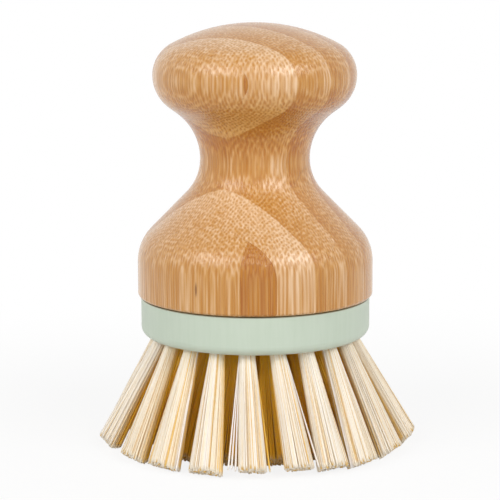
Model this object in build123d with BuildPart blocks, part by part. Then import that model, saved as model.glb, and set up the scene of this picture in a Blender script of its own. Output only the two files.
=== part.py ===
from build123d import *
from math import acos, atan2, cos, degrees, hypot, radians, sin, sqrt
import os

# Hand brush for vegetables: a turned bamboo handle on a round painted block,
# with bristle tufts that fan out from holes in the face of the block.
# Millimetres, +Z up the axis of the brush, bristle tips on the plane Z = 0.

# Heights along the axis
bristle_height = 23.9  # tips of the bristles to the face of the block
block_thickness = 8.4
handle_height = 57.7

# Handle, turned from laminated bamboo
body_radius = 25.0
band_height = 7.3  # upright band above the foot of the handle
neck_radius = 11.6
neck_drop = 17.6  # widest part of the knob down to the narrowest part of the neck
knob_radius = 21.5
knob_drop = 10.9  # top of the handle down to the widest part of the knob
foot_round = 0.7

# The curves of the handle, as shares of the fullest curves that fit
shoulder_curve_share = 0.40
neck_foot_share = 0.42
neck_head_share = 0.59
knob_underside_share = 0.40
knob_edge_share = 0.68

# Block, turned and painted, with a spigot that is glued into the handle
block_inset = 0.65  # the handle overhangs the block by this much
block_round = 1.9  # round along the lower edge of the block
block_break = 0.35  # bevel along the upper edge, which makes the seam
spigot_radius = 10.0
spigot_height = 6.0
spigot_chamfer = 0.8
spigot_clearance = 0.1  # room for glue at the side of the spigot
socket_relief = 0.5  # room above the spigot

# Holes for the tufts, drilled in rings that are evenly spaced from the middle
hole_radius = 1.8
hole_depth_share = 0.7  # of the thickness of the block
rim_wall = 0.6  # from the holes of the outer ring to the round of the block
outer_lean = 29.3  # degrees, of the tufts in the outer ring
ring_names = ("centre", "inner", "middle", "outer")
ring_counts = (1, 7, 13, 20)
ring_turns = (0.0, 12.0, 4.0, -5.0)  # degrees, the first tuft of each ring

# Tufts: fibres folded over an anchor of flat wire, packed in their hole
trim_dome = 250.0  # radius of the crown that the tips are trimmed to
trim_depth = 0.5  # cut off flat below the crown, where the brush stands
trim_slope_share = 0.3  # the outer side of a tuft is cut shorter than its inner side
tuft_clearance = 0.05
root_sides = 8  # the packed root, pressed to facets by its neighbours in the hole
fold_height = 0.8  # fibres below the anchor
strand_rows = (3, 4, 3)  # strands in each row, packed like bricks
strand_pitch_share = 0.47  # of the hole's radius, from strand to strand
strand_width_share = 0.82  # of the pitch
strand_sink = 0.5  # the strands start this deep in the packed root
strand_flare = 1.35  # widening of a strand of fibres from root to tip
fan_along = 1.5  # widening of a tuft away from the axis of the brush
fan_across = 2.3  # widening of a tuft towards its neighbours

# Anchors
anchor_thickness = 0.4
anchor_width = 1.6

# Levels and radii that follow from the sizes above
block_face = bristle_height
foot_level = block_face + block_thickness
top_level = foot_level + handle_height
knob_level = top_level - knob_drop
neck_level = knob_level - neck_drop
shoulder_level = foot_level + band_height
block_radius = body_radius - block_inset
spigot_level = foot_level + spigot_height
socket_radius = spigot_radius + spigot_clearance
socket_level = spigot_level + socket_relief
hole_depth = hole_depth_share * block_thickness
ring_steps = len(ring_names) - 1
outer_ring = block_radius - block_round - rim_wall - hole_radius / cos(radians(outer_lean))


# An upright start and an upright end, two arcs and a straight run tangent to both
def s_bend(low, high, low_share, high_share):
    across = abs(high[0] - low[0])
    rise = high[1] - low[1]
    fullest = (across**2 + rise**2) / (2 * across)
    low_bend = low_share * fullest
    high_bend = high_share * fullest
    centres = hypot(across - low_bend - high_bend, rise)
    turn = 180 - degrees(atan2(rise, across - low_bend - high_bend))
    turn -= degrees(acos((low_bend + high_bend) / centres))
    way = 1 if high[0] < low[0] else -1
    start = JernArc(low, (0, 1), low_bend, way * turn)
    run = PolarLine(start @ 1, sqrt(centres**2 - (low_bend + high_bend) ** 2), direction=start % 1)
    JernArc(run @ 1, run % 1, high_bend, -way * turn)


# The knob's rolled edge and the shallow crown over it, which ends level on the axis
def knob_top():
    edge_bend = knob_edge_share * knob_drop
    hub = knob_radius - edge_bend
    crown = (hub**2 + knob_drop**2 - edge_bend**2) / (2 * (knob_drop - edge_bend))
    roll = degrees(atan2(crown - knob_drop, hub))
    edge = JernArc((knob_radius, knob_level), (0, 1), edge_bend, roll)
    return JernArc(edge @ 1, edge % 1, crown, 90 - roll)


# Handle: one turned solid with a blind socket in its foot
with BuildPart() as handle:
    with BuildSketch(Plane.XZ) as handle_profile:
        with BuildLine() as handle_outline:
            shoulder = (body_radius, shoulder_level)
            neck = (neck_radius, neck_level)
            s_bend(shoulder, neck, shoulder_curve_share, neck_foot_share)
            s_bend(neck, (knob_radius, knob_level), neck_head_share, knob_underside_share)
            crown_arc = knob_top()
            Polyline(
                crown_arc @ 1,
                (0, socket_level),
                (socket_radius, socket_level),
                (socket_radius, foot_level),
                (body_radius, foot_level),
                shoulder,
            )
        make_face()
    revolve(axis=Axis.Z)
    foot_edges = handle.edges().filter_by(GeomType.CIRCLE).group_by(Axis.Z)[0]
    fillet(foot_edges.sort_by(SortBy.RADIUS)[-1], radius=foot_round)

handle.part.label = "handle"


# Where a tuft leaves the block: local Z runs down the tuft, local X away from the brush's axis
def tuft_plane(step):
    lean = radians(outer_lean) * step / ring_steps
    return Plane(
        origin=(outer_ring * step / ring_steps, 0, block_face),
        x_dir=(cos(lean), 0, sin(lean)),
        z_dir=(sin(lean), 0, -cos(lean)),
    )


# The turns about the brush's axis that carry one tuft to each place in its ring
def ring_angles(step):
    count = ring_counts[step]
    return [ring_turns[step] + 360 * place / count for place in range(count)]


tuft_seats = [
    Rotation(0, 0, angle) * tuft_plane(step).location
    for step in range(ring_steps + 1)
    for angle in ring_angles(step)
]

# Block: a disc with a spigot on top and a blind hole for each tuft
with BuildPart() as bristle_block:
    with BuildSketch(Plane.XY.offset(block_face)) as disc_profile:
        Circle(block_radius)
    extrude(amount=block_thickness)
    fillet(bristle_block.edges().sort_by(Axis.Z)[0], radius=block_round)
    chamfer(bristle_block.edges().sort_by(Axis.Z)[-1], length=block_break)
    with BuildSketch(Plane.XY.offset(foot_level)) as spigot_profile:
        Circle(spigot_radius)
    extrude(amount=spigot_height)
    chamfer(bristle_block.edges().sort_by(Axis.Z)[-1], length=spigot_chamfer)
    with Locations(*tuft_seats):
        with Locations((0, 0, -hole_depth)):
            Cylinder(
                hole_radius,
                hole_depth + 2 * hole_radius,
                align=(Align.CENTER, Align.CENTER, Align.MIN),
                mode=Mode.SUBTRACT,
            )

bristle_block.part.label = "bristle_block"

# Anchors: a piece of flat wire across the bottom of each hole
anchor_level = fold_height + tuft_clearance - hole_depth
with BuildPart() as tuft_anchors:
    with Locations(*tuft_seats):
        with Locations((0, 0, anchor_level)):
            Box(
                2 * (hole_radius - tuft_clearance),
                anchor_thickness,
                anchor_width,
                align=(Align.CENTER, Align.CENTER, Align.MIN),
            )

tuft_anchors.part.label = "tuft_anchors"


# Where the strands of a tuft start: rows packed like bricks over the root
def strand_places():
    pitch = strand_pitch_share * hole_radius
    row_pitch = pitch * sqrt(3) / 2
    return [
        ((row - (len(strand_rows) - 1) / 2) * row_pitch, (place - (count - 1) / 2) * pitch)
        for row, count in enumerate(strand_rows)
        for place in range(count)
    ]


# How far the tips of a ring reach below the face of the block, measured along the tuft
def tuft_length(step):
    lean = radians(outer_lean) * step / ring_steps
    spread = outer_ring * step / ring_steps + bristle_height * sin(lean) / cos(lean)
    crown_lift = trim_dome - sqrt(trim_dome**2 - spread**2)
    return (bristle_height + trim_depth - crown_lift) / cos(lean)


# Tuft: a packed root round its anchor, fused with strands that fan out below the block
def make_tuft(step):
    seat = tuft_plane(step)
    length = tuft_length(step)
    root_depth = hole_depth - tuft_clearance
    strand_width = strand_width_share * strand_pitch_share * hole_radius
    with BuildPart() as tuft:
        with BuildSketch(seat.offset(-root_depth)):
            RegularPolygon(hole_radius - tuft_clearance, root_sides, rotation=180 / root_sides)
        extrude(amount=root_depth)
        with Locations(seat.location):
            with Locations((0, 0, anchor_level - tuft_clearance)):
                Box(
                    2 * hole_radius,
                    anchor_thickness + 2 * tuft_clearance,
                    anchor_width + 2 * tuft_clearance,
                    align=(Align.CENTER, Align.CENTER, Align.MIN),
                    mode=Mode.SUBTRACT,
                )
        strands = []
        for x, y in strand_places():
            with BuildSketch(seat.offset(-strand_sink)):
                with Locations((x, y)):
                    Rectangle(strand_width, strand_width)
            with BuildSketch(seat.offset(length - trim_slope_share * fan_along * x)):
                with Locations((fan_along * x, fan_across * y)):
                    Rectangle(strand_flare * strand_width, strand_flare * strand_width)
            strands.append(loft(ruled=True, mode=Mode.PRIVATE))
        add(strands)
        split(bisect_by=Plane.XY, keep=Keep.TOP)
    return tuft.part


os.makedirs("parts", exist_ok=True)
export_step(handle.part, "parts/handle.step")
export_step(bristle_block.part, "parts/bristle_block.step")
export_step(tuft_anchors.part, "parts/tuft_anchors.step")

for step, ring_name in enumerate(ring_names):
    ring_tuft = make_tuft(step)
    for place, angle in enumerate(ring_angles(step), start=1):
        tuft = ring_tuft.rotate(Axis.Z, angle)
        tuft.label = f"tuft_{ring_name}_{place:02d}"
        export_step(tuft, f"parts/{tuft.label}.step")
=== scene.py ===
import math

import bpy
import numpy as np
from mathutils import Matrix, Vector


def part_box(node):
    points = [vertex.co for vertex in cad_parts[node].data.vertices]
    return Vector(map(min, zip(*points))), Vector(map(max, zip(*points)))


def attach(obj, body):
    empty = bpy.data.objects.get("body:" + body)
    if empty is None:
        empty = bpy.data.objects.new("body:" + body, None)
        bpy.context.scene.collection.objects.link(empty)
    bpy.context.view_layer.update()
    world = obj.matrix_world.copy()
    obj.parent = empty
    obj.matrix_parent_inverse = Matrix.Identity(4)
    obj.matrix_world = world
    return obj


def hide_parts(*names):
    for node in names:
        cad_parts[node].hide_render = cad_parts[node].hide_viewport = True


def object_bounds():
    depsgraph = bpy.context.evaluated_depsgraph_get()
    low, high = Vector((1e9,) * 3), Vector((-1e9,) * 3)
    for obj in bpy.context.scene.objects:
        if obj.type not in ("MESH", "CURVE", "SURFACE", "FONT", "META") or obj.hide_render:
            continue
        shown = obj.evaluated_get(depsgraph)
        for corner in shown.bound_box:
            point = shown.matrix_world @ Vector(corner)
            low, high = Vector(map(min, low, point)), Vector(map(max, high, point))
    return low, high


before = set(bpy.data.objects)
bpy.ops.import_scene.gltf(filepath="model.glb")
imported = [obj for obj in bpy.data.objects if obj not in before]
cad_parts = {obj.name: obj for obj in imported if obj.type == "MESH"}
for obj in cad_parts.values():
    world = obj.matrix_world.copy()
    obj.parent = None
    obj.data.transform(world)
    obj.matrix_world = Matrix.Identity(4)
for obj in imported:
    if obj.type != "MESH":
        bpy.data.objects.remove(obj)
cadLow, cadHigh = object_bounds()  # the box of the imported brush
mm = 0.001
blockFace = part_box("bristle_block")[0].z  # where the tufts leave the block
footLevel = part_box("handle")[0].z  # the seam between handle and block
print("brush frame loaded")


# Colours are picked as 0-255 screen values and handed to the nodes as linear light.
def tone(red, green, blue):
    channels = [c / 255 for c in (red, green, blue)]
    return [c / 12.92 if c <= 0.04045 else ((c + 0.055) / 1.055) ** 2.4 for c in channels] + [1.0]


# Adds one shader node. An input is a value, or another node's output to link.
def addNode(tree, kind, inputs=None, **settings):
    node = tree.nodes.new("ShaderNode" + kind)
    for name, value in settings.items():
        setattr(node, name, value)
    for name, value in (inputs or {}).items():
        if isinstance(value, bpy.types.NodeSocket):
            tree.links.new(value, node.inputs[name])
        else:
            node.inputs[name].default_value = value
    return node


def calc(tree, operation, *values, clamp=False):
    node = addNode(tree, "Math", dict(enumerate(values)), operation=operation, use_clamp=clamp)
    return node.outputs[0]


# Rises smoothly from 0 to 1 as value goes from low to high.
def ease(tree, value, low, high):
    inputs = {"Value": value, "From Min": low, "From Max": high}
    return addNode(tree, "MapRange", inputs, interpolation_type="SMOOTHSTEP").outputs[0]


def blendColour(tree, share, base, top, blend="MIX"):
    node = addNode(tree, "Mix", {0: share, 6: base, 7: top}, data_type="RGBA", blend_type=blend)
    return node.outputs[2]


# A ramp with its own list of (place, value) stops; a value is a grey or a colour.
def ramp(tree, share, stops, interpolation="LINEAR"):
    node = addNode(tree, "ValToRGB", {0: share})
    node.color_ramp.interpolation = interpolation
    for number, (place, value) in enumerate(stops):
        elements = node.color_ramp.elements
        stop = elements[number] if number < 2 else elements.new(place)
        stop.position = place
        stop.color = value if isinstance(value, list) else (value, value, value, 1)
    return node.outputs[0]


def vectorCalc(tree, operation, *values):
    node = addNode(tree, "VectorMath", dict(enumerate(values)), operation=operation)
    return node.outputs["Value" if operation in ("DOT_PRODUCT", "LENGTH") else "Vector"]


# From low to high as share goes from 0 to 1.
def spread(tree, share, low, high):
    return calc(tree, "MULTIPLY_ADD", share, high - low, low)


# Position in the brush, in millimetres, squeezed along the axis by zShare.
def brushPoint(tree, zShare=1.0):
    place = addNode(tree, "TexCoord").outputs["Object"]
    return vectorCalc(tree, "MULTIPLY", place, (1 / mm, 1 / mm, zShare / mm))


# Noise in the brush, squeezed along the axis by zShare; size in millimetres.
def noise(tree, zShare, size, detail, roughness=0.5):
    point = brushPoint(tree, zShare)
    inputs = {"Vector": point, "Scale": 1 / size, "Detail": detail, "Roughness": roughness}
    return addNode(tree, "TexNoise", inputs).outputs["Fac"]


# Small relief of a finish; depth in millimetres.
def relief(tree, height, strength, depth):
    inputs = {"Strength": strength, "Distance": depth * mm, "Height": height}
    return addNode(tree, "Bump", inputs).outputs[0]


def newFinish(name):
    finish = bpy.data.materials.new(name)
    finish.use_nodes = True
    finish.node_tree.nodes.clear()
    return finish, finish.node_tree


def wearShader(tree, shader):
    output = addNode(tree, "OutputMaterial")
    tree.links.new(shader.outputs[0], output.inputs["Surface"])


# The usual surface of a finish; extra holds more inputs of its shader.
def wearSurface(tree, colour, rough, normal, extra):
    inputs = {"Base Color": colour, "Roughness": rough, "Normal": normal, **extra}
    wearShader(tree, addNode(tree, "BsdfPrincipled", inputs))


# Camera: a little above the shoulder of the handle, at the photographed angle
cameraPlace = {
    "distance": 0.4507,  # metres in front of the brush's axis
    "height": 0.1220,
    "lookDown": 10.10,  # degrees
    "turnLeft": 0.14,
    "roll": -0.18,
    "lens": 154.8,
    "sensor": 36.0,
}


def makeCamera(place):
    camera = bpy.data.objects.new("camera", bpy.data.cameras.new("camera"))
    bpy.context.scene.collection.objects.link(camera)
    turn = Matrix.Rotation(math.radians(place["turnLeft"]), 4, "Z")
    tilt = Matrix.Rotation(math.radians(90 - place["lookDown"]), 4, "X")
    roll = Matrix.Rotation(math.radians(place["roll"]), 4, "Z")
    spot = Matrix.Translation((0, -place["distance"], place["height"]))
    camera.matrix_world = spot @ turn @ tilt @ roll
    camera.data.lens = place["lens"]
    camera.data.sensor_width = place["sensor"]
    camera.data.clip_start = 0.01
    bpy.context.scene.camera = camera


# Studio: two softboxes in front, a surround that is brighter in front, and a white floor
studio = {
    "surroundBack": 0.70,  # brightness of the surround on the object
    "surroundFront": 0.90,
    "frontEase": (1.0, -0.1),  # from straight behind to just in front of the side
    "surroundTop": 0.18,  # share of it that is left straight above
    "topEase": (0.1, 1.0),  # from just above level to straight above
    "boxes": (  # name, degrees round from the camera, degrees up, metres away, width, height, watts
        ("softboxLeft", -47, 35, 0.9, 0.60, 0.34, 3.2),
        ("softboxRight", 44, 35, 0.9, 0.60, 0.34, 3.4),
    ),
    "aim": 0.055,  # height that the softboxes point at
    "floorRadius": 3.0,
    "floorSides": 96,
    "shadowReach": (0.048, 0.16),  # the shading of the floor fades out between these distances
    "shadowShare": 0.14,
    "paper": (0.78, 0.78, 0.78, 1),  # what the floor throws back on the object
    "white": (1.0, 1.0, 1.0, 1),
}


def makeSoftbox(name, around, up, away, width, height, watts):
    box = bpy.data.objects.new(name, bpy.data.lights.new(name, "AREA"))
    bpy.context.scene.collection.objects.link(box)
    box.data.shape = "RECTANGLE"
    box.data.size, box.data.size_y = width, height
    box.data.energy = watts
    aim = Vector((0, 0, studio["aim"]))
    side, rise = math.radians(around), math.radians(up)
    way = Vector((math.sin(side) * math.cos(rise), -math.cos(side) * math.cos(rise), math.sin(rise)))
    box.location = aim + away * way
    box.rotation_euler = (-way).to_track_quat("-Z", "Y").to_euler()


# 1 for the rays that show the background: straight, mirrored and through glass
def backgroundRays(tree):
    rays = addNode(tree, "LightPath").outputs
    glossy = calc(tree, "MAXIMUM", rays["Is Glossy Ray"], rays["Is Transmission Ray"])
    return calc(tree, "MAXIMUM", rays["Is Camera Ray"], glossy)


def makeSurround():
    world = bpy.data.worlds.new("surround")
    bpy.context.scene.world = world
    world.use_nodes = True
    tree = world.node_tree
    tree.nodes.clear()
    way = addNode(tree, "TexCoord").outputs["Generated"]
    way = addNode(tree, "SeparateXYZ", {0: way}).outputs
    inFront = ease(tree, way["Y"], *studio["frontEase"])
    fromAbove = ease(tree, way["Z"], *studio["topEase"])
    level = spread(tree, inFront, studio["surroundBack"], studio["surroundFront"])
    level = calc(tree, "MULTIPLY", level, spread(tree, fromAbove, 1.0, studio["surroundTop"]))
    lighting = addNode(tree, "Background", {"Color": studio["white"], "Strength": level})
    shown = addNode(tree, "Background", {"Color": studio["white"], "Strength": 1.0})
    mixed = addNode(tree, "MixShader", {0: backgroundRays(tree), 1: lighting.outputs[0], 2: shown.outputs[0]})
    output = addNode(tree, "OutputWorld")
    tree.links.new(mixed.outputs[0], output.inputs["Surface"])


def makeFloor():
    finish, tree = newFinish("whitePaper")
    away = vectorCalc(tree, "LENGTH", addNode(tree, "TexCoord").outputs["Object"])
    near = calc(tree, "SUBTRACT", 1.0, ease(tree, away, *studio["shadowReach"]))
    seen = blendColour(tree, backgroundRays(tree), studio["paper"], studio["white"])
    shaded = addNode(tree, "BsdfDiffuse", {"Color": seen})
    white = addNode(tree, "Emission", {"Color": studio["white"], "Strength": 1.0})
    shadowPart = calc(tree, "MULTIPLY", near, studio["shadowShare"])
    whitePart = calc(tree, "MULTIPLY", backgroundRays(tree), calc(tree, "SUBTRACT", 1.0, shadowPart))
    paper = addNode(tree, "MixShader", {0: whitePart, 1: shaded.outputs[0], 2: white.outputs[0]})
    under = calc(tree, "MULTIPLY", addNode(tree, "NewGeometry").outputs["Backfacing"], backgroundRays(tree))
    clear = addNode(tree, "BsdfTransparent")
    wearShader(tree, addNode(tree, "MixShader", {0: under, 1: paper.outputs[0], 2: clear.outputs[0]}))
    sides, radius = studio["floorSides"], studio["floorRadius"]
    turns = [math.tau * i / sides for i in range(sides)]
    rim = [(radius * math.cos(turn), radius * math.sin(turn), 0) for turn in turns]
    mesh = bpy.data.meshes.new("floor")
    mesh.from_pydata(rim, [], [range(sides)])
    floor = bpy.data.objects.new("floor", mesh)
    bpy.context.scene.collection.objects.link(floor)
    floor.location.z = cadLow.z
    mesh.materials.append(finish)


bpy.context.scene.view_settings.view_transform = "Standard"
makeCamera(cameraPlace)
for box in studio["boxes"]:
    makeSoftbox(*box)
makeSurround()
makeFloor()
print("camera and studio ready")


# Laminated bamboo: slats glued in upright layers, each with its bundles of fibres
bamboo = {
    "layerFacing": -119.0,  # degrees, the way the outer side of each layer faces
    "layerEdges": (-25.0, -17.4, -9.8, -2.2, 5.4, 12.9, 19.4),  # mm from the axis
    "layerTones": (0.45, 0.60, 0.42, 0.39, 0.42, 0.50, 0.65, 0.52),  # dark to pale
    "layerRise": (  # how outer the bundles look at the inner and the outer side of each layer
        (0.4, 1.0),
        (0.0, 1.0),
        (0.1, 0.9),
        (0.0, 1.0),
        (0.1, 1.0),
        (0.1, 1.0),
        (0.0, 0.7),
        (0.4, 0.75),
    ),
    "layerGap": 1e-4,  # share of the span between the ramps of two layers
    "slatJoints": (4.0, 15.0, 9.0, 1.0, 13.0, 1.0, 3.0, 10.16),  # mm, a side joint in each layer
    "slatWidth": 22.0,
    "slatSkew": 0.021,  # the side joints run slightly aslant
    "slatKey": 37.0,  # keeps the slats of two layers from sharing their luck
    "slatShift": 50.0,  # mm, how far apart the slats take their bundles from the pattern
    "span": 27.0,  # mm, reach of the ramps on each side of the axis
    "glueWidth": 0.12,
    "gluePatches": (1.0, 6.0, 3.0),  # noise: share along the axis, mm, detail and roughness
    "glueBreak": (0.42, 0.68),  # the glue shows where that noise is high
    "glueShare": 0.25,
    "swaySqueeze": 0.3,  # share along the axis of the noise that sways the bundles
    "swayScale": 0.12,  # per mm
    "sway": (1.5, 1.5, 0.0),  # mm
    "bundlePitch": 0.69,
    "bundleShuffle": 0.38,  # 0 is even rows and 1 is none
    "bundleTurn": 1.3,  # radians, the rows of bundles run aslant through a layer
    "bundleRadius": (0.19, 0.255),  # mm, in the inner and the outer part of a layer
    "radiusLuck": (0.92, 1.08),
    "bundleEdge": (0.6, 1.25),  # radii from the middle, where a bundle fades out
    "tissueEdge": (1.25, 2.0),  # radii from the middle, where the palest tissue starts
    "strength": (0.35, 0.63),  # how brown bundles are in the inner and the outer part of a layer
    "strengthCurve": 0.7,
    "caramelStrength": 0.5,  # more in the caramel slat
    "strengthLuck": (0.88, 1.12),
    "breaks": (0.12, 0.8, 1.0),
    "breakShares": (0.8, 1.2),
    "broad": (0.15, 4.0, 3.0),
    "fine": (0.05, 0.45, 0.0),
    "stripes": (0.02, 1.1, 2.0, 0.6),
    "tissueTones": (0.66, 0.38),  # in the inner and the outer part of a layer
    "betweenTone": 0.12,
    "toneWeights": (1.0, 0.16, 0.2, 0.28, 0.75),  # layer, slat, broad tones, stripes, fine grain
    "caramelTone": -0.48,
    "caramel": tone(164, 94, 10),
    "mid": tone(199, 144, 74),
    "pale": tone(231, 194, 154),
    "bundle": tone(181, 114, 16),
    "glue": tone(150, 96, 44),
    "underKnobShade": (61.0, 66.0, 74.0, 79.0),  # mm, heights between which the end grain gets painted shade under the knob
    # the tint multiplied in there as painted shade
    "underKnobShadeTint": tone(244, 225, 170),
    "knotPlace": (-12.08, -21.89, 37.4),  # mm, on the upright band
    "knotReach": (0.38, 0.38, 2.0),
    "knotEdge": (0.2, 1.0),
    "knotShare": 0.8,
    "knot": tone(112, 64, 10),
    "roughness": (0.34, 0.50),
    "relief": (-0.8, 0.8),  # bundles are sunk and the fine grain stands out
    "reliefDepth": (0.8, 0.07),  # strength, and mm
    "lacquer": {"Specular IOR Level": 0.1, "Coat Weight": 1.0, "Coat Roughness": 0.22, "Coat IOR": 1.5},
}


def bambooFinish():
    finish, tree = newFinish("laminatedBamboo")
    point = brushPoint(tree)
    facing = math.radians(bamboo["layerFacing"])
    outward = (math.cos(facing), math.sin(facing), 0)
    across = (-math.sin(facing), math.cos(facing), bamboo["slatSkew"])
    depth = vectorCalc(tree, "DOT_PRODUCT", point, outward)
    side = vectorCalc(tree, "DOT_PRODUCT", point, across)
    span, edges, slatWidth = bamboo["span"], bamboo["layerEdges"], bamboo["slatWidth"]
    place = calc(tree, "MULTIPLY_ADD", depth, 0.5 / span, 0.5)
    spots = [(edge + span) / (2 * span) for edge in edges]
    starts = [0.0] + spots

    # Which layer, and how near to its outer side
    layerTone = ramp(tree, place, zip(starts, bamboo["layerTones"]), "CONSTANT")
    rising = []
    for start, end, (inner, outer) in zip(starts, spots + [1.0], bamboo["layerRise"]):
        rising += [(start, inner), (end - bamboo["layerGap"], outer)]
    nearOuter = ramp(tree, place, rising)

    # Slats side by side in a layer, one of them caramel
    joints = [joint / slatWidth for joint in bamboo["slatJoints"]]
    jointPlace = ramp(tree, place, zip(starts, joints), "CONSTANT")
    slatPlace = calc(tree, "SUBTRACT", calc(tree, "DIVIDE", side, slatWidth), jointPlace)
    slatNumber = calc(tree, "FLOOR", slatPlace)
    slatKey = calc(tree, "MULTIPLY_ADD", layerTone, bamboo["slatKey"], slatNumber)
    slatLuck = addNode(tree, "TexWhiteNoise", {"W": slatKey}, noise_dimensions="1D").outputs["Value"]
    outermost = calc(tree, "GREATER_THAN", depth, edges[-1])
    caramelSide = calc(tree, "GREATER_THAN", side, bamboo["slatJoints"][-1])
    caramelSlat = calc(tree, "MULTIPLY", outermost, caramelSide)

    # Glue lines between the layers and between the slats, faint and broken
    glueReach = bamboo["glueWidth"] / (2 * span)
    glueStops = [(0.0, 0.0)]
    for spot in spots:
        glueStops += [(spot - glueReach, 0.0), (spot, 1.0), (spot + glueReach, 0.0)]
    layerGlue = ramp(tree, place, glueStops)
    fromJoint = calc(tree, "MULTIPLY", calc(tree, "PINGPONG", slatPlace, 0.5), slatWidth)
    slatGlue = calc(tree, "SUBTRACT", 1.0, ease(tree, fromJoint, 0.0, bamboo["glueWidth"]))
    glueBreak = ease(tree, noise(tree, *bamboo["gluePatches"]), *bamboo["glueBreak"])
    glue = calc(tree, "MULTIPLY", calc(tree, "MAXIMUM", layerGlue, slatGlue), glueBreak)

    # Bundles of fibres: dots where the cut crosses them, streaks where it runs along
    swayPoint = brushPoint(tree, bamboo["swaySqueeze"])
    waver = addNode(tree, "TexNoise", {"Vector": swayPoint, "Scale": bamboo["swayScale"], "Detail": 1.0})
    waver = vectorCalc(tree, "SUBTRACT", waver.outputs["Color"], (0.5, 0.5, 0.5))
    swayed = vectorCalc(tree, "MULTIPLY_ADD", waver, bamboo["sway"], point)
    shifted = vectorCalc(tree, "ADD", swayed, calc(tree, "MULTIPLY", slatLuck, bamboo["slatShift"]))
    rowTurn = facing + bamboo["bundleTurn"]
    turned = addNode(tree, "VectorRotate", {"Vector": shifted, "Angle": rowTurn}, rotation_type="Z_AXIS")
    pattern = {
        "Vector": turned.outputs[0],
        "Scale": 1 / bamboo["bundlePitch"],
        "Randomness": bamboo["bundleShuffle"],
    }
    cells = addNode(tree, "TexVoronoi", pattern, voronoi_dimensions="2D").outputs
    fromBundle = calc(tree, "MULTIPLY", cells["Distance"], bamboo["bundlePitch"])
    luck = addNode(tree, "SeparateColor", {0: cells["Color"]}).outputs
    radius = spread(tree, nearOuter, *bamboo["bundleRadius"])
    radius = calc(tree, "MULTIPLY", radius, spread(tree, luck[0], *bamboo["radiusLuck"]))
    relative = calc(tree, "DIVIDE", fromBundle, radius)
    bundle = calc(tree, "SUBTRACT", 1.0, ease(tree, relative, *bamboo["bundleEdge"]))
    between = ease(tree, relative, *bamboo["tissueEdge"])
    outerShare = calc(tree, "POWER", nearOuter, bamboo["strengthCurve"])
    strength = spread(tree, outerShare, *bamboo["strength"])
    strength = calc(tree, "MULTIPLY_ADD", caramelSlat, bamboo["caramelStrength"], strength)
    strength = calc(tree, "MULTIPLY", strength, spread(tree, luck[1], *bamboo["strengthLuck"]))
    broken = spread(tree, noise(tree, *bamboo["breaks"]), *bamboo["breakShares"])
    bundleShare = calc(tree, "MULTIPLY", bundle, calc(tree, "MULTIPLY", strength, broken), clamp=True)

    # Soft tissue between the bundles: broad tones and a fine fibrous grain
    broad, stripes = noise(tree, *bamboo["broad"]), noise(tree, *bamboo["stripes"])
    fine = noise(tree, *bamboo["fine"])
    body = spread(tree, nearOuter, *bamboo["tissueTones"])
    body = calc(tree, "MULTIPLY_ADD", between, bamboo["betweenTone"], body)
    for part, weight in zip((layerTone, slatLuck, broad, stripes, fine), bamboo["toneWeights"]):
        body = calc(tree, "MULTIPLY_ADD", calc(tree, "SUBTRACT", part, 0.5), weight, body)
    body = calc(tree, "MULTIPLY_ADD", caramelSlat, bamboo["caramelTone"], body, clamp=True)
    tissue = ramp(tree, body, [(0.0, bamboo["caramel"]), (0.5, bamboo["mid"]), (1.0, bamboo["pale"])])
    colour = blendColour(tree, bundleShare, tissue, bamboo["bundle"])
    colour = blendColour(tree, calc(tree, "MULTIPLY", glue, bamboo["glueShare"]), colour, bamboo["glue"])

    # Painted shade on the end grain under the knob, and one knot
    height = addNode(tree, "SeparateXYZ", {0: point}).outputs["Z"]
    underKnobStart, underKnobFull, underKnobFade, underKnobEnd = bamboo["underKnobShade"]
    # painted shade: darker and more saturated in a band of heights under the knob
    underKnobShade = calc(tree, "SUBTRACT", ease(tree, height, underKnobStart, underKnobFull), ease(tree, height, underKnobFade, underKnobEnd))
    colour = blendColour(tree, underKnobShade, colour, bamboo["underKnobShadeTint"], "MULTIPLY")
    fromKnot = vectorCalc(tree, "SUBTRACT", point, bamboo["knotPlace"])
    fromKnot = vectorCalc(tree, "LENGTH", vectorCalc(tree, "DIVIDE", fromKnot, bamboo["knotReach"]))
    knotShare = spread(tree, ease(tree, fromKnot, *bamboo["knotEdge"]), bamboo["knotShare"], 0.0)
    colour = blendColour(tree, knotShare, colour, bamboo["knot"])

    rough = spread(tree, fine, *bamboo["roughness"])
    bundleRelief, grainRelief = bamboo["relief"]
    grain = calc(tree, "MULTIPLY", fine, grainRelief)
    height = calc(tree, "MULTIPLY_ADD", bundle, bundleRelief, grain)
    normal = relief(tree, height, *bamboo["reliefDepth"])
    wearSurface(tree, colour, rough, normal, {"Coat Normal": normal, **bamboo["lacquer"]})
    return finish


# Sage paint on the block, with the wood's grain showing faintly through
sagePaint = {
    "base": tone(195, 207, 190),
    "thin": tone(191, 204, 186),
    "streaks": (0.08, 0.9, 3.0, 0.6),  # noise: share along the axis, mm, detail and roughness
    "clouds": (0.5, 9.0, 2.0),
    "peel": (0.8, 0.5, 2.0),
    "thinShares": (0.6, 0.4),  # of the streaks and the clouds
    "thinEase": (0.38, 0.66),
    "seam": tone(112, 96, 58),  # painted shade along the joint under the handle
    "seamReach": (0.48, 0.18),  # mm below the handle, where the painted shade starts and is full
    "roughness": (0.46, 0.60),
    "relief": (0.7, 0.5),  # of the streaks and the orange peel
    "reliefDepth": (0.2, 0.05),
    "satin": {"Sheen Weight": 0.15},
}


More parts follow.
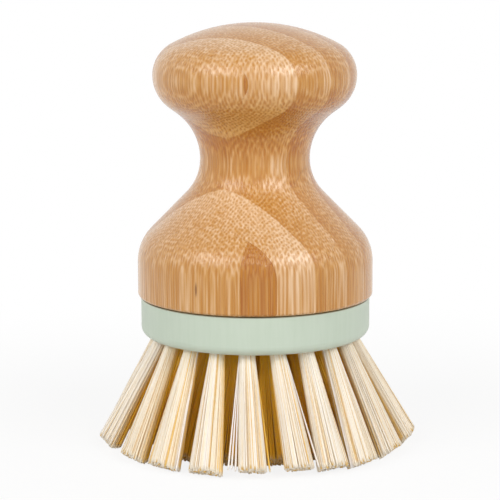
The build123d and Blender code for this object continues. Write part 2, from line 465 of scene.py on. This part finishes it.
def paintFinish():
    finish, tree = newFinish("sagePaint")
    streaks, clouds = noise(tree, *sagePaint["streaks"]), noise(tree, *sagePaint["clouds"])
    streakShare, cloudShare = sagePaint["thinShares"]
    thinness = calc(tree, "MULTIPLY_ADD", streaks, streakShare, calc(tree, "MULTIPLY", clouds, cloudShare))
    thinness = ease(tree, thinness, *sagePaint["thinEase"])
    painted = blendColour(tree, thinness, sagePaint["base"], sagePaint["thin"])
    height = addNode(tree, "SeparateXYZ", {0: brushPoint(tree)}).outputs["Z"]
    # Painted shade along the joint just under the handle
    seamShadeShare = ease(tree, height, *(footLevel / mm - reach for reach in sagePaint["seamReach"]))
    painted = blendColour(tree, seamShadeShare, painted, sagePaint["seam"])
    rough = spread(tree, clouds, *sagePaint["roughness"])
    streakRelief, peelRelief = sagePaint["relief"]
    peel = calc(tree, "MULTIPLY", noise(tree, *sagePaint["peel"]), peelRelief)
    height = calc(tree, "MULTIPLY_ADD", streaks, streakRelief, peel)
    wearSurface(tree, painted, rough, relief(tree, height, *sagePaint["reliefDepth"]), sagePaint["satin"])
    return finish


# Flat steel wire of the anchors, drawn along its length
anchorWire = {
    "bright": tone(178, 180, 184),
    "dull": tone(120, 122, 126),
    "dullShare": 0.3,
    "drawn": (1.0, 0.12, 3.0, 0.65),  # noise: share along the axis, mm, detail and roughness
    "roughness": (0.28, 0.48),
    "reliefDepth": (0.15, 0.02),
    "metal": {"Metallic": 1.0},
}


def wireFinish():
    finish, tree = newFinish("drawnWire")
    drawn = noise(tree, *anchorWire["drawn"])
    rough = spread(tree, drawn, *anchorWire["roughness"])
    dullness = calc(tree, "MULTIPLY", drawn, anchorWire["dullShare"])
    shade = blendColour(tree, dullness, anchorWire["bright"], anchorWire["dull"])
    wearSurface(tree, shade, rough, relief(tree, drawn, *anchorWire["reliefDepth"]), anchorWire["metal"])
    return finish


def dress(node, finish):
    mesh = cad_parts[node].data
    mesh.materials.clear()
    mesh.materials.append(finish)


dress("handle", bambooFinish())
dress("bristle_block", paintFinish())
dress("tuft_anchors", wireFinish())
print("handle, block and anchors dressed")


# Tufts: straight plant fibres, packed in a hole and fanning out below the block
fibre = {
    "count": 230,
    "rimCount": 60,  # more fibres round the outside of the tuft, which close it
    "bundleRadius": 1.66 * mm,  # the fibres fill the hole up to here
    "edgeInset": 0.1 * mm,  # from there to the middle of the outermost fibres
    "packing": 3.63,  # places in a circle that has the pitch as its radius
    "gridReach": 20,  # places on each side of the middle, before the circle is cut out
    "shake": 0.12,  # of the pitch
    "shift": (-0.3, 0.3),
    "rimReach": (0.92, 1.0),
    "widths": (0.19 * mm, 0.24 * mm),
    "flare": 1.9,  # a fibre is wider at its tip, so the tufts stay dense
    "sides": 5,
    "rootDepth": 5.7 * mm,
    "rootSlack": 0.01 * mm,
    "anchorHalf": 0.25 * mm,  # fibres in line with the anchor start below it
    "anchorDepth": 3.3 * mm,
    "stops": (0.0, 0.5, 0.96, 1.0),  # rings of points from the block to the tip
    "fanAlong": 1.50,  # widening away from the brush's axis
    "scatter": 0.12 * mm,  # how far a tip strays from its place
    "strayShare": 0.015,
    "strayScatter": 0.6 * mm,
    "strayOut": 0.6 * mm,  # how far outwards a placed stray ends
    "bow": 0.05 * mm,
    "ragged": 0.28 * mm,
    "tipClearance": (0.12, 0.3),  # mm, the least from a tip to the floor
    "trimDome": 250 * mm,
    "trimDepth": 0.5 * mm,
    "shadeScatter": 0.06,
    "goldenShare": 0.12,  # of the fibres
    "goldenRange": (0.15, 0.42),
    "coreShade": 0.35,  # painted shade: fibres in the middle of a tuft are more golden
    "axisSideShade": 0.74,  # painted shade: so are those on its side towards the brush's axis
    "innerEase": (0.3, 0.9, 1.3),  # where that starts, how far it rises, and its curve
    "sideStart": 0.2,  # where the painted shade towards the next tuft starts
    "grooveShade": 0.75,  # painted shade: fibres are more golden on the side that faces into the tuft
    "dottedShare": 0.2,  # of the cut ends, which are darker than the pale rest
    "tipShades": (0.2, 0.8),  # pale and dark
    "shadeStops": (0.0, 0.33, 0.66, 1.0),
    "cream": tone(250, 243, 236),
    "straw": tone(246, 232, 206),
    "gold": tone(228, 190, 124),
    # the colour of painted shade in the gaps between the tufts
    "shadeHoney": tone(250, 196, 36),
    "grain": (0.12, 0.35, 2.0),
    "grainTint": 0.25,
    "roughness": (0.38, 0.58),
    "reliefDepth": (0.1, 0.02),
    "sheen": {"Sheen Weight": 0.5, "Sheen Roughness": 0.3},
    "seed": 11,
}
# Tufts, degrees to the first one, degrees of lean, more lean of the fibres, widening to the
# neighbours, how golden (in the inner rings mostly painted shade), share of the fibres
outerLean = 29.3
rings = {
    "centre": (1, 0.0, 0.0, 0.0, 2.0, 0.90, 0.6),
    "inner": (7, 12.0, outerLean / 3, 3.0, 2.8, 0.88, 0.7),
    "middle": (13, 4.0, outerLean * 2 / 3, 5.5, 3.3, 0.82, 1.0),
    "outer": (20, -5.0, outerLean, -3.0, 2.0, 0.04, 1.0),
}
# Degrees that a tuft leans sideways and outwards, extra length, widening to its neighbours, how golden,
# how much shorter its outer side is cut, and how much painted shade its side takes towards the next tuft
tuftHabits = {
    "tuft_outer_01": (0.0, 0.0, 0.3 * mm, 1.8, 0.06, 0.34, 0.0),
    "tuft_outer_11": (0.0, -3.6, 0.8 * mm, 1.9, 0.08, 0.34, 0.2),
    "tuft_outer_12": (-4.5, -2.0, 0.6 * mm, 1.8, -0.06, 0.34, 0.1),
    "tuft_outer_13": (2.6, -4.7, 0.2 * mm, 2.4, 0.04, 0.15, 0.35),
    "tuft_outer_14": (2.9, -5.0, 0.0, 2.5, 0.05, 0.05, 0.25),
    "tuft_outer_15": (4.2, -4.4, 0.0, 2.25, 0.0, 0.08, 0.4),
    "tuft_outer_16": (4.6, -4.0, -0.9 * mm, 1.8, 0.0, -0.1, 0.1),
    "tuft_outer_17": (5.2, -4.0, -1.0 * mm, 1.8, 0.0, -0.1, 0.0),
    "tuft_outer_18": (0.2, -4.0, -0.4 * mm, 2.15, -0.03, -0.05, 0.0),
    "tuft_outer_19": (-3.9, -4.0, 0.1 * mm, 2.7, 0.0, 0.0, 0.0),
    "tuft_outer_20": (-0.6, -4.0, 0.1 * mm, 2.9, 0.0, 0.12, 0.0),
}
habitLuck = {  # the same for the other tufts, by chance
    "sideways": 1.5,
    "outwards": 0.9,
    "longer": (-1.0, 0.2),  # mm
    "fan": 0.15,
    "tint": (0, 0.12),
    "slope": 0.3,
    "nextSideShade": 0.3,
}
strays = {  # where the tips of stray fibres are, mm sideways from the middle of their tuft
    "tuft_outer_14": (3.4, 4.0),
    "tuft_outer_16": (-4.9, -4.2, -3.4),
    "tuft_outer_17": (3.8,),
    "tuft_outer_19": (-4.4, -3.9),
}


def fibreFinish():
    finish, tree = newFinish("plantFibre")
    shade = addNode(tree, "Attribute", attribute_name="fibreShade").outputs["Fac"]
    grain = noise(tree, *fibre["grain"])
    lighter = calc(tree, "SUBTRACT", grain, 0.5)
    tint = calc(tree, "MULTIPLY_ADD", lighter, fibre["grainTint"], shade, clamp=True)
    colours = (fibre["cream"], fibre["straw"], fibre["gold"], fibre["shadeHoney"])
    colour = ramp(tree, tint, zip(fibre["shadeStops"], colours))
    rough = spread(tree, grain, *fibre["roughness"])
    normal = relief(tree, grain, *fibre["reliefDepth"])
    wearSurface(tree, colour, rough, normal, {"Sheen Tint": fibre["cream"], **fibre["sheen"]})
    return finish


# The middle of a tuft's hole at its inner end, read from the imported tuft
def rootCentre(node, axis):
    points = np.array([v.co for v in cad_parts[node].data.vertices])
    along = points @ np.array(axis)
    end = points[along < along.min() + fibre["rootSlack"]]
    return Vector((end.min(axis=0) + end.max(axis=0)) / 2)


# Places in the hole, packed like bricks and shaken a little
def packedPlaces(luck, total):
    pitch = fibre["bundleRadius"] * math.sqrt(fibre["packing"] / total)
    turn = luck.uniform(0, math.pi / 3)
    steps = range(-fibre["gridReach"], fibre["gridReach"] + 1)
    grid = np.array([((i + j / 2) * pitch, j * pitch * math.sqrt(3) / 2) for i in steps for j in steps])
    rotation = np.array([[math.cos(turn), -math.sin(turn)], [math.sin(turn), math.cos(turn)]])
    grid = grid @ rotation + luck.normal(0, fibre["shake"] * pitch, grid.shape)
    grid = grid + luck.uniform(*fibre["shift"], 2) * pitch
    return grid[np.hypot(grid[:, 0], grid[:, 1]) < fibre["bundleRadius"] - fibre["edgeInset"]]


# Places close together along the edge of the hole
def rimPlaces(luck, total):
    total = int(total)
    around = math.tau * (np.arange(total) + luck.uniform(*fibre["shift"], total)) / total
    reach = (fibre["bundleRadius"] - fibre["edgeInset"]) * luck.uniform(*fibre["rimReach"], total)
    return np.column_stack([reach * np.cos(around), reach * np.sin(around)])


# Faces of fibres whose points follow each other: rings of sides points, closed at both ends
def fibreFaces(total, levels, sides):
    faces = []
    for base in range(0, total * levels * sides, levels * sides):
        end = base + (levels - 1) * sides
        faces.append([base + i for i in reversed(range(sides))])
        for low in range(base, end, sides):
            for i in range(sides):
                j = (i + 1) % sides
                faces.append((low + i, low + j, low + sides + j, low + sides + i))
        faces.append([end + i for i in range(sides)])
    return faces


# How golden each point of a tuft is, much of it painted shade; inTuft is a fibre's place in the hole, in
# radii of the hole
def fibreShades(luck, inTuft, facingOut, levels, golden, tint, nextSideShade):
    total = len(inTuft)
    start, reach, curve = fibre["innerEase"]
    # Painted shade: more gold on the side towards the brush's axis, towards the next tuft, in the grooves and
    # deep in the tuft
    shades = golden + tint + fibre["axisSideShade"] * np.clip((start - inTuft[:, 0]) / reach, 0, 1) ** curve
    # painted shade on the side towards the next tuft
    towardsNext = inTuft[:, 1] * math.copysign(1, nextSideShade)
    shades += abs(nextSideShade) * np.maximum(towardsNext - fibre["sideStart"], 0)
    shades += (luck.random(total) < fibre["goldenShare"]) * luck.uniform(*fibre["goldenRange"], total)
    shades += luck.normal(0, fibre["shadeScatter"], total)
    paleTip, darkTip = fibre["tipShades"]
    tipShades = np.where(luck.random(total) < fibre["dottedShare"], darkTip, paleTip) + golden / 2
    # painted shade in the grooves between the fibres
    shades = shades[:, None] + fibre["grooveShade"] * (1 - facingOut) / 2
    # painted shade deep in the tuft
    shades += fibre["coreShade"] * (1 - (inTuft**2).sum(axis=1, keepdims=True))
    shades = np.repeat(shades[:, None, :], levels, axis=1)
    shades[:, -1] = tipShades[:, None]
    return shades


def makeTuft(node, ring, place, finish):
    count, first, lean, more, fan, golden, fullness = rings[ring]
    luck = np.random.default_rng([fibre["seed"], *map(ord, node)])
    chance = [
        luck.normal(0, habitLuck["sideways"]),
        luck.normal(more, habitLuck["outwards"]),
        luck.uniform(*habitLuck["longer"]) * mm,
        luck.normal(fan, habitLuck["fan"]),
        luck.uniform(*habitLuck["tint"]),
        habitLuck["slope"],
        habitLuck["nextSideShade"],
    ]
    sideways, outwards, longer, fanAcross, tint, slope, nextSideShade = tuftHabits.get(node, chance)

    # The tuft's own directions, and the middle of its hole at the face of the block
    turn, lean = math.radians(first + 360 * place / count), math.radians(lean)
    outward = Vector((math.cos(turn), math.sin(turn), 0))
    along = outward * math.sin(lean) - Vector((0, 0, math.cos(lean)))
    out = outward * math.cos(lean) + Vector((0, 0, math.sin(lean)))
    across = Vector((-math.sin(turn), math.cos(turn), 0))
    frameOf = np.array([out, across, along])
    root = rootCentre(node, along)
    mouth = root + along * ((blockFace - root.z) / along.z)

    # Where each fibre starts and ends across the tuft
    packed = packedPlaces(luck, fibre["count"] * fullness)
    starts = np.vstack([packed, rimPlaces(luck, fibre["rimCount"] * fullness)])
    total = len(starts)
    loose = luck.random(total) < fibre["strayShare"]
    scatter = np.where(loose, fibre["strayScatter"], fibre["scatter"])[:, None]
    ends = starts * [fibre["fanAlong"], fanAcross] + luck.normal(0, 1, (total, 2)) * scatter
    astray = []
    for number, tip in enumerate(strays.get(node, ())):
        astray.append(np.argsort(starts[:, 1] * math.copysign(1, -tip))[number])
        ends[astray[-1]] = (fibre["strayOut"], tip * mm)

    # Lengths, trimmed to the crown and kept above the floor
    reach = math.hypot(mouth.x, mouth.y) + blockFace * math.tan(lean)
    crown = fibre["trimDome"] - math.sqrt(fibre["trimDome"] ** 2 - reach**2)
    length = (blockFace + fibre["trimDepth"] - crown) / math.cos(lean) + longer
    lengths = length - slope * ends[:, 0] + luck.uniform(-1, 1, total) * fibre["ragged"]
    leaning = np.tan(np.radians([outwards, sideways]))
    below = lengths * (along.z + out.z * leaning[0]) + ends[:, 0] * out.z + mouth.z
    below -= luck.uniform(*fibre["tipClearance"], total) * mm
    lengths += np.minimum(below, 0) / math.cos(lean)
    ends += lengths[:, None] * leaning
    bows = luck.normal(0, 1, (total, 2)) * fibre["bow"]

    # The line of each fibre, from its root to its tip
    widths = luck.uniform(*fibre["widths"], total)
    inLine = np.abs(starts[:, 1]) < fibre["anchorHalf"] + widths / 2
    depths = np.where(inLine, fibre["anchorDepth"], fibre["rootDepth"])
    stations = [np.column_stack([starts, -depths])]
    for stop in fibre["stops"]:
        flat = starts + (ends - starts) * stop + bows * math.sin(math.pi * stop)
        stations.append(np.column_stack([flat, lengths * stop]))
    path = np.stack(stations, axis=1) @ frameOf + np.array(mouth)

    # The surface round that line
    sides, halves = fibre["sides"], (widths / 2)[:, None, None]
    angles = math.tau * np.arange(sides) / sides + luck.uniform(0, math.tau, (total, 1))
    rim = (np.cos(angles)[..., None] * frameOf[0] + np.sin(angles)[..., None] * frameOf[1]) * halves
    swell = np.array([1.0, *(1 + (fibre["flare"] - 1) * stop for stop in fibre["stops"])])
    points = path[:, :, None, :] + rim[:, None, :, :] * swell[None, :, None, None]
    levels = points.shape[1]
    mesh = bpy.data.meshes.new(node + "_fibres")
    mesh.from_pydata(points.reshape(-1, 3), [], fibreFaces(total, levels, sides))

    # Shades, partly painted shade, by a fibre's place in the tuft and the way its sides face
    inTuft = starts / fibre["bundleRadius"]
    fromMiddle = (inTuft / np.hypot(*inTuft.T)[:, None])[:, None, :]
    facingOut = (rim @ np.stack([out, across], axis=1) / halves * fromMiddle).sum(axis=2)
    shades = fibreShades(luck, inTuft, facingOut, levels, golden, tint, nextSideShade)
    shades[astray] = 0
    shadeOf = mesh.attributes.new("fibreShade", "FLOAT", "POINT")
    shadeOf.data.foreach_set("value", np.clip(shades, 0, 1).ravel().astype(np.float32))
    mesh.materials.append(finish)
    for face in mesh.polygons:
        face.use_smooth = len(face.vertices) == 4
    tuft = bpy.data.objects.new(node + "_fibres", mesh)
    bpy.context.scene.collection.objects.link(tuft)
    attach(tuft, "root")
    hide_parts(node)


plantFibre = fibreFinish()
for ring, layout in rings.items():
    for place in range(layout[0]):
        makeTuft(f"tuft_{ring}_{place + 1:02d}", ring, place, plantFibre)
    print(f"{layout[0]} tufts made in the {ring} ring")
